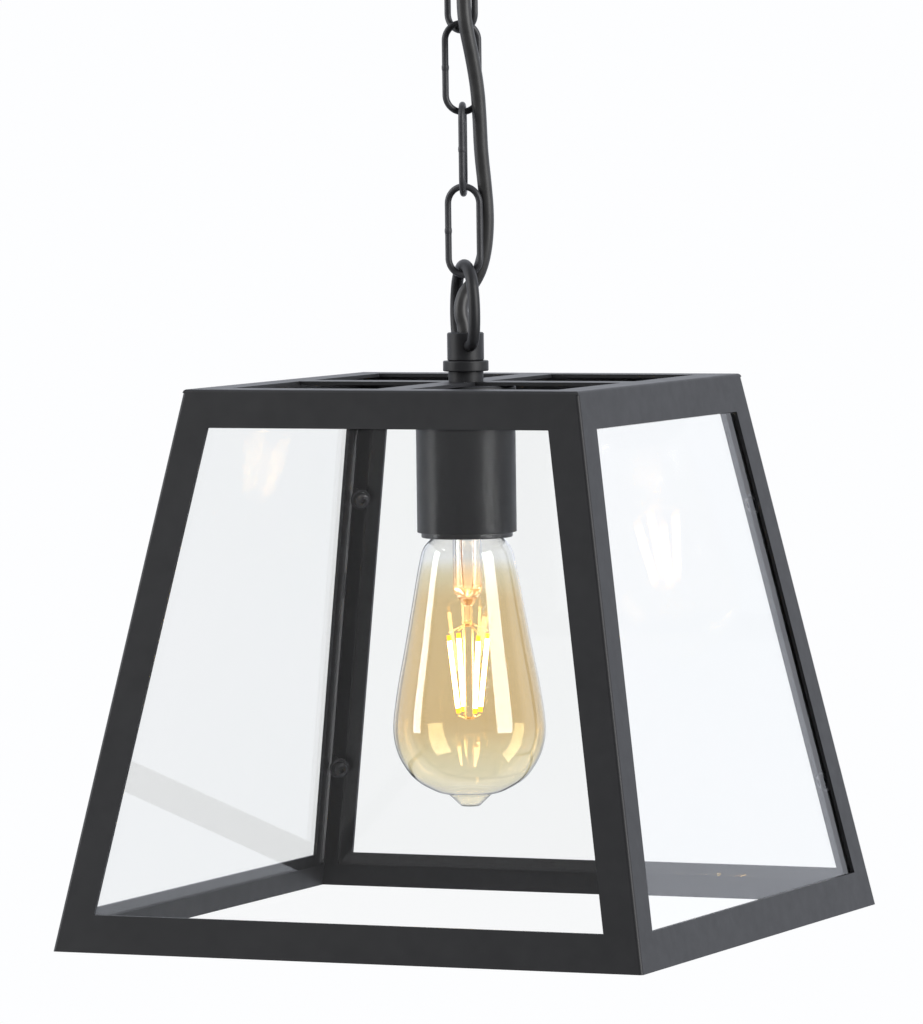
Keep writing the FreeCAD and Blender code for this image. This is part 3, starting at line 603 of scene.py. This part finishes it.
# The flex's route, in metres: x, y, height above the cage's top plane.
flex_route = [
    (0.0, 0.0, 0.216),
    (0.0, 0.0, 0.2045),
    (0.00296, -0.00372, 0.194),
    (0.00506, -0.00673, 0.1835),
    (0.00495, -0.00721, 0.171),
    (0.00395, -0.0066, 0.16),
    (0.0047, -0.0067, 0.149),
    (0.00646, -0.0037, 0.135),
    (0.0074, -0.0009, 0.122),
    (0.00755, 0.0005, 0.11),
    (0.00735, 0.00195, 0.096),
    (0.00795, 0.00405, 0.082),
    (0.0084, 0.00525, 0.069),
    (0.0075, 0.0055, 0.057),
    (0.0052, 0.0055, 0.0475),
    (0.0018, 0.0047, 0.0408),
    (-0.0014, 0.0016, 0.0364),
    (-0.0021, -0.0006, 0.029),
    (0.0, 0.0, 0.0222),
    (0.0, 0.0, 0.0145),
]
flex_diameter = 0.006
# Each length of flex ends a little above the lowest point of the CAD's length.
join_overlap = 0.0004


def make_flex(material):
    """The cable in five lengths that meet exactly, split where the CAD's lengths end."""
    line = spline_points([(x, y, cage_top + height) for x, y, height in flex_route])
    start = 0
    for number in range(1, 6):
        if number < 5:
            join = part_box("flex_%d" % number)[0].z + join_overlap
            end = next(i for i, point in enumerate(line) if point.z <= join)
        else:
            end = len(line) - 1
        stretch = line[start:end + 1]
        bm = bmesh.new()
        sweep(bm, stretch, flex_diameter / 2)
        piece = finish_piece("flex_%d_sheath" % number, bm, material, None)
        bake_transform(piece)
        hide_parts("flex_%d" % number)
        start = end


# ---------------------------------------------------------------- chain

# The way each link faces, in degrees about the lantern's axis.
link_azimuths = {"link_a": -14.0, "link_b": 38.0, "link_c": 110.0, "link_d": 1.0}
link_bend_radius = 0.007125
link_wire_radius = 0.001375
weld_half_length = 0.0012
weld_height = 0.00022
# The bead's ends lie just inside the wire.
weld_sink = 0.00003


def weld_radius(travelled):
    """The bead's radius at a distance along it."""
    across = travelled / weld_half_length - 1
    return link_wire_radius - weld_sink + weld_height * math.sqrt(max(0.0, 1 - across * across))


def make_link_seams(material):
    """Each link is a bent wire whose ends meet half way up one side, where a low bead marks the weld."""
    for name, azimuth in link_azimuths.items():
        low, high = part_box(name)
        turn = math.radians(azimuth)
        centre = Vector((0, 0, (low.z + high.z) / 2))
        side = Vector((math.cos(turn), math.sin(turn), 0)) * -link_bend_radius
        steps = 12
        line = []
        for step in range(steps + 1):
            line.append(centre + side + Vector((0, 0, weld_half_length * (2 * step / steps - 1))))
        bm = bmesh.new()
        sweep(bm, line, weld_radius, 24, cap=False)
        finish_piece(name + "_weld", bm, material, name)


# ---------------------------------------------------------------- bulb

# The glass's outline: radius and depth below the cage's top plane, in metres.
glass_outline = [
    (0.0114, 0.054), (0.0115, 0.0603), (0.0126, 0.0637), (0.015, 0.0657), (0.0186, 0.0702),
    (0.0207, 0.0785), (0.0228, 0.09), (0.0264, 0.11), (0.0302, 0.13), (0.032, 0.1454),
    (0.0304, 0.1554), (0.0264, 0.163), (0.0217, 0.168), (0.0145, 0.172), (0.0096, 0.1734),
    (0.0078, 0.1747), (0.0062, 0.1762), (0.0046, 0.1777), (0.0034, 0.1784), (0.0, 0.1785),
]
glass_wall = 0.0007


def smooth_profile(outline):
    """A Catmull-Rom line through an outline of (radius, depth) points."""
    per_span = 8
    points = [Vector((radius, cage_top - depth)) for radius, depth in outline]
    line = []
    for index in range(len(points) - 1):
        before = points[max(index - 1, 0)]
        start, end = points[index], points[index + 1]
        after = points[min(index + 2, len(points) - 1)]
        for step in range(per_span):
            t = step / per_span
            line.append(0.5 * (
                2 * start + (end - before) * t
                + (2 * before - 5 * start + 4 * end - after) * t ** 2
                + (3 * start - before - 3 * end + after) * t ** 3))
    line.append(points[-1])
    return line


def make_bulb_glass(material):
    """The blown envelope as one closed double wall."""
    outside = smooth_profile(glass_outline)
    inside = []
    for index, point in enumerate(outside):
        ahead = outside[min(index + 1, len(outside) - 1)]
        behind = outside[max(index - 1, 0)]
        along = (ahead - behind).normalized()
        moved = point + Vector((along.y, -along.x)) * glass_wall
        inside.append(Vector((max(moved.x, 0.0), moved.y)))
    inside[-1] = Vector((0.0, outside[-1].y + glass_wall))
    bm = bmesh.new()
    loop = [(p.x, p.y) for p in reversed(inside)] + [(p.x, p.y) for p in outside]
    revolve(bm, loop)
    piece = finish_piece("bulb_envelope", bm, material, "bulb")
    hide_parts("bulb_glass")


def make_stem_wires(materials):
    """The two lead wires inside the hollow stem, down to its pinch."""
    top = cage_top - 0.062
    pinch = cage_top - 0.0885
    for name, x, y in (("stem_wire_left", -0.0024, 0.0003), ("stem_wire_right", 0.0026, -0.0004)):
        line = spline_points([
            (x * 1.3, y, top), (x * 1.25, y * 2, top - 0.007), (x * 1.05, -y, top - 0.014),
            (x, y, top - 0.021), (x * 0.8, 0.0, pinch)])
        bm = bmesh.new()
        sweep(bm, line, 0.0003, 12)
        finish_piece(name, bm, materials["copper_wire"], "bulb")


def filament_ends():
    """Top and bottom point of each of the four filaments, which stand in a ring and lean inwards."""
    low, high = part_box("bulb_filaments")
    turn = math.radians(51.0)
    top_ring = 0.0092
    bottom_ring = 0.0051
    ends = []
    for index in range(4):
        angle = turn + math.pi / 2 * index
        direction = Vector((math.cos(angle), math.sin(angle), 0))
        top = direction * top_ring + Vector((0, 0, high.z))
        bottom = direction * bottom_ring + Vector((0, 0, low.z))
        ends.append((top, bottom))
    return ends


def make_filaments(materials):
    """Four glowing strips with amber phosphor ends."""
    glow = bmesh.new()
    tips = bmesh.new()
    end_length = 0.0022
    strip_radius = 0.00098
    end_radius = 0.00092
    sides = 14
    for top, bottom in filament_ends():
        along = (bottom - top).normalized()
        length = (bottom - top).length
        inner_top = top + along * end_length
        inner_bottom = bottom - along * end_length
        steps = 24
        line = [inner_top.lerp(inner_bottom, i / steps) for i in range(steps + 1)]
        sweep(glow, line, strip_radius, sides)
        for start, end in ((top, inner_top), (inner_bottom, bottom)):
            line = [start.lerp(end, i / 4) for i in range(5)]
            sweep(tips, line, end_radius, sides)
    piece = finish_piece("filament_strips", glow, materials["filament"], "bulb")
    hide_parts("bulb_filaments")
    end_material = phosphor("filament_ends", (1.0, 0.5, 0.03), 3.2)
    finish_piece("filament_ends", tips, end_material, "bulb")


# ---------------------------------------------------------------- make

camera_yaw = make_camera()
materials = make_materials()
make_flex(materials["flex_black"])
make_light(camera_yaw)
make_floor()
dress(materials)
make_link_seams(materials["chain_black"])
make_bulb_glass(materials["amber_glass"])
make_stem_wires(materials)
make_filaments(materials)
